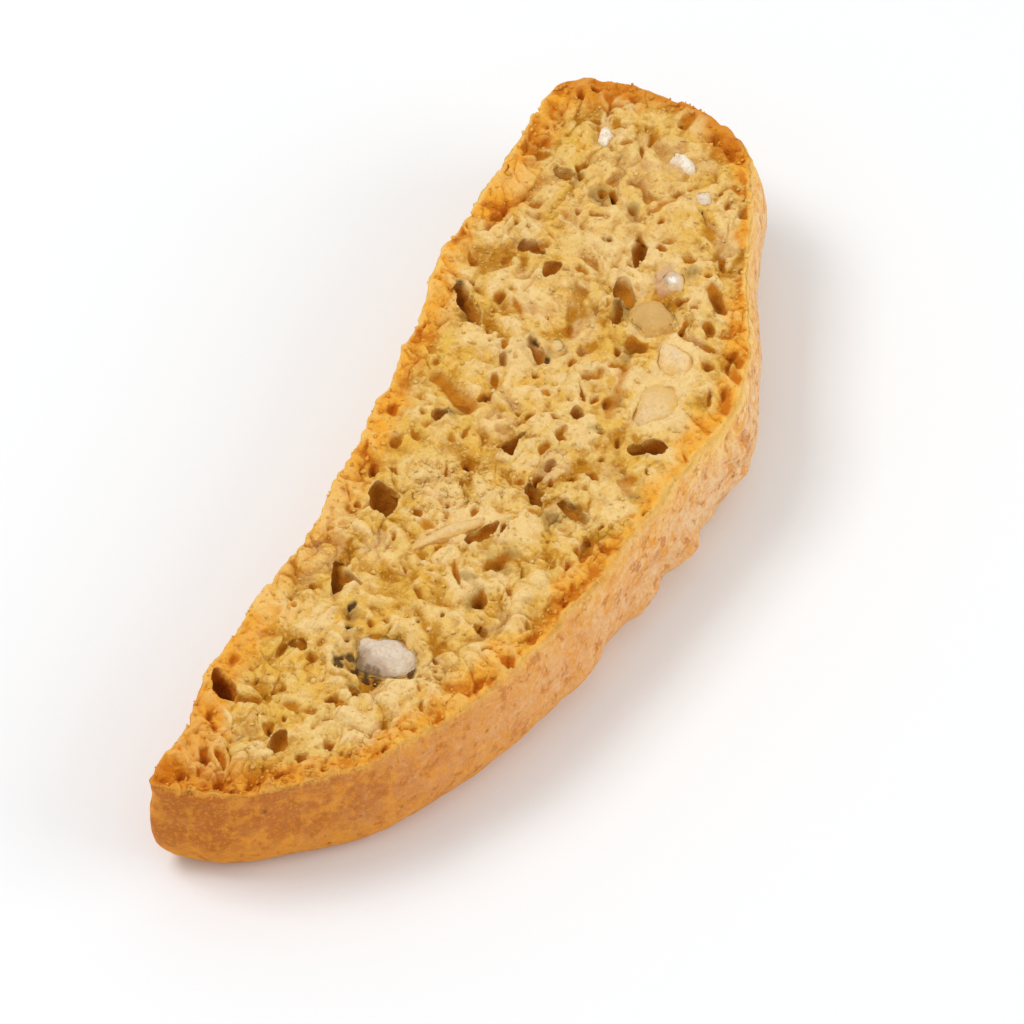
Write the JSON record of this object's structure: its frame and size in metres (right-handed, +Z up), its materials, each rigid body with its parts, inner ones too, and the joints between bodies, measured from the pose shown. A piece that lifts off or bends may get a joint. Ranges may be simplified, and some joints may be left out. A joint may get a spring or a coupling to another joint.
{
  "type": "almond biscotto",
  "caption": "Twice-baked almond biscuit: a long slice cut on the slant from a loaf, craggy cut faces with nut pieces inside a browned crust.",
  "frame": {"origin": "under the middle of the slice's bounding box, on the plane that it rests on", "axes": "+X along the slice from its pointed tip to its blunt end, +Y towards the straight side that stood on the baking tray, +Z up through the slice's thickness to the cut face that shows"},
  "size_m": [0.1076, 0.0384, 0.0162],
  "materials": {
    "baked_dough": "baked dough: porous matt golden crumb on the cut faces, toasted orange at their edges, fine-grained brown crust round the side",
    "nut_meat": "roasted almond: smooth cream cut meat with a thin brown skin"
  },
  "bodies": {
    "root": {"baked_slice": "baked_dough", "nut_near_tip": "nut_meat", "nut_sliver": "nut_meat", "nut_pale_chunk": "nut_meat", "nut_pale_ridge": "nut_meat", "nut_round_skinned": "nut_meat", "nut_bright_chip": "nut_meat", "nut_crescent_bit": "nut_meat", "nut_end_flake": "nut_meat", "nut_end_chip_high": "nut_meat", "nut_end_chip_low": "nut_meat", "nut_under_half": "nut_meat", "nut_under_chip": "nut_meat", "nut_under_chunk": "nut_meat", "nut_under_sliver": "nut_meat"}
  },
  "joints": []
}
